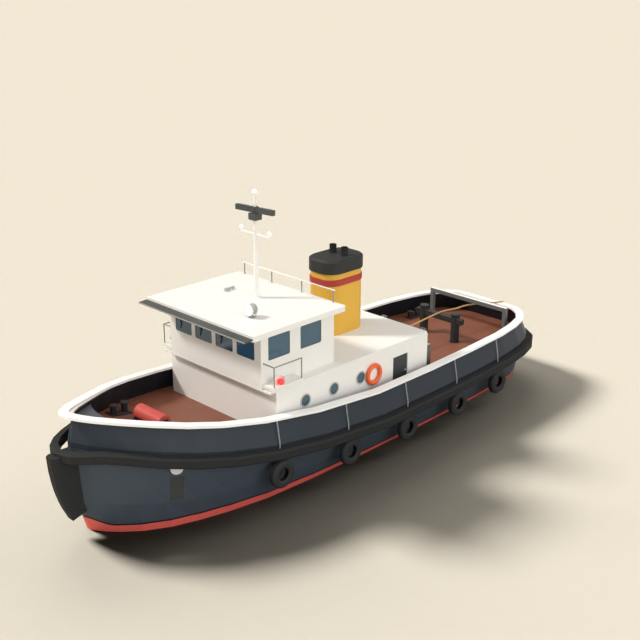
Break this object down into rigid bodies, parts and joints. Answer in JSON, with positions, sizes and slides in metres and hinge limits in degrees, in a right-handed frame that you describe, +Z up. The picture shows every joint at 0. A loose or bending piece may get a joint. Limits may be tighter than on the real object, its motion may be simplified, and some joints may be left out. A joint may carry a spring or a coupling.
{
  "type": "tugboat",
  "caption": "Harbour tugboat with decked hull, belt and tyre fenders, hollow deckhouse and wheelhouse, funnel, radar mast, windlass, towing bitt and gantry, rudder and propeller.",
  "frame": {"origin": "on the centreline amidships, at the waterline", "axes": "+X to the bow, +Y to port, +Z up"},
  "size_m": [23.8361, 7.9764, 13.098],
  "materials": {
    "belt_rubber": "matte black",
    "black_paint": "satin black",
    "bronze": "satin bronze",
    "dark_paint": "satin dark grey",
    "grey_paint": "satin grey",
    "hull_paint": "semi-gloss navy grey topsides, red below the waterline, oxide deck",
    "orange_foam": "matte orange with white bands",
    "pane": "clear, faintly blue",
    "red_paint": "satin red",
    "rope_fibre": "matte straw-coloured fibre",
    "tyre_rubber": "matte black",
    "white_paint": "satin white",
    "yellow_paint": "satin ochre with a red band"
  },
  "bodies": {
    "hull": {"belt_fender_port": "belt_rubber", "belt_fender_starboard": "belt_rubber", "bollards_aft_port": "black_paint", "bollards_aft_starboard": "black_paint", "bollards_fore_port": "black_paint", "bollards_fore_starboard": "black_paint", "bulwark_port": "hull_paint", "bulwark_starboard": "hull_paint", "cap_rail_port": "white_paint", "cap_rail_starboard": "white_paint", "deckhouse_aft": "white_paint", "deckhouse_front": "white_paint", "deckhouse_side_port": "white_paint", "deckhouse_side_starboard": "white_paint", "deckhouse_top": "white_paint", "funnel_cap": "black_paint", "funnel_casing": "yellow_paint", "glass_aft": "pane", "glass_front": "pane", "glass_side_port": "pane", "glass_side_starboard": "pane", "hawse_port": "grey_paint", "hawse_starboard": "grey_paint", "hull": "hull_paint", "lifebuoy_port": "orange_foam", "lifebuoy_starboard": "orange_foam", "mast": "white_paint", "roof_rail": "white_paint", "searchlight": "white_paint", "stem_fender": "belt_rubber", "tow_bitt": "black_paint", "tow_gantry": "grey_paint", "tow_hook": "black_paint", "tow_rope": "rope_fibre", "tyre_fender_1_port": "tyre_rubber", "tyre_fender_1_starboard": "tyre_rubber", "tyre_fender_2_port": "tyre_rubber", "tyre_fender_2_starboard": "tyre_rubber", "tyre_fender_3_port": "tyre_rubber", "tyre_fender_3_starboard": "tyre_rubber", "tyre_fender_4_port": "tyre_rubber", "tyre_fender_4_starboard": "tyre_rubber", "tyre_fender_5_port": "tyre_rubber", "tyre_fender_5_starboard": "tyre_rubber", "wheelhouse_aft": "white_paint", "wheelhouse_front": "white_paint", "wheelhouse_roof": "white_paint", "wheelhouse_side_port": "white_paint", "wheelhouse_side_starboard": "white_paint", "wheelhouse_visor": "dark_paint", "windlass_stand": "dark_paint", "wing_rail_port": "white_paint", "wing_rail_starboard": "white_paint"},
    "propeller": {"propeller": "bronze"},
    "rudder": {"rudder": "red_paint"},
    "radar": {"radar_scanner": "white_paint"},
    "windlass_drum": {"windlass_drum": "red_paint"},
    "door_port": {"deckhouse_door_port": "dark_paint"},
    "door_starboard": {"deckhouse_door_starboard": "dark_paint"},
    "door_aft": {"wheelhouse_door": "white_paint"}
  },
  "joints": [
    {"name": "propeller_turn", "type": "hinge", "parent": "hull", "child": "propeller", "pos_m": [-7.76, 0, -1.64], "axis": [1, 0, 0], "continuous": true},
    {"name": "rudder_turn", "type": "hinge", "parent": "hull", "child": "rudder", "pos_m": [-9.25, 0, -1.65], "axis": [0, 0, 1], "range_deg": [-35, 35]},
    {"name": "radar_turn", "type": "hinge", "parent": "hull", "child": "radar", "pos_m": [2.91, 0, 9.6], "axis": [0, 0, 1], "continuous": true},
    {"name": "windlass_turn", "type": "hinge", "parent": "hull", "child": "windlass_drum", "pos_m": [7.85, 0.06, 3.24], "axis": [0, 1, 0], "continuous": true},
    {"name": "door_port_swing", "type": "hinge", "parent": "hull", "child": "door_port", "pos_m": [-1.41, 2.776, 2.8], "axis": [0, 0, 1], "range_deg": [0, 90]},
    {"name": "door_starboard_swing", "type": "hinge", "parent": "hull", "child": "door_starboard", "pos_m": [-1.41, -2.776, 2.8], "axis": [0, 0, -1], "range_deg": [0, 90]},
    {"name": "door_aft_swing", "type": "hinge", "parent": "hull", "child": "door_aft", "pos_m": [1.411, -0.425, 5.1], "axis": [0, 0, 1], "range_deg": [0, 110]}
  ]
}
